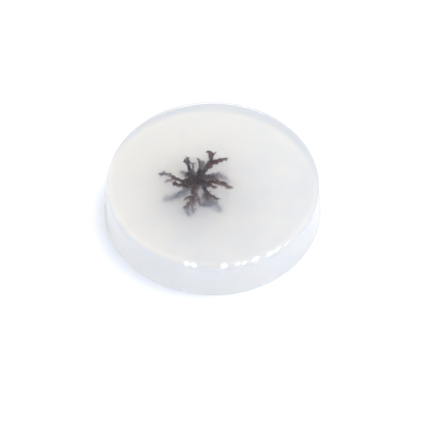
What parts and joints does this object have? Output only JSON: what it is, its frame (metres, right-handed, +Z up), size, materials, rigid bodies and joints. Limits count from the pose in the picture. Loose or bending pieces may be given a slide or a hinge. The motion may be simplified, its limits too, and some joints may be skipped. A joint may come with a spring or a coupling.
{
  "type": "dendritic agate specimen",
  "caption": "Round flat-topped polished tablet of milky translucent agate, with a leaning wall, a rolled top edge and a dark mineral dendrite grown inside.",
  "frame": {"origin": "middle of the flat base, on the surface that the stone rests on", "axes": "+Z up along the axis of the round; -Y towards the near rim, as the stone is seen in the picture"},
  "size_m": [0.02, 0.02, 0.004],
  "materials": {
    "agate": "polished, milky and translucent",
    "oxide": "dull, moss-like manganese and iron oxide"
  },
  "bodies": {
    "root": {"agate_stone": "agate", "agate_plug": "agate", "dendrite": "oxide"}
  },
  "joints": []
}
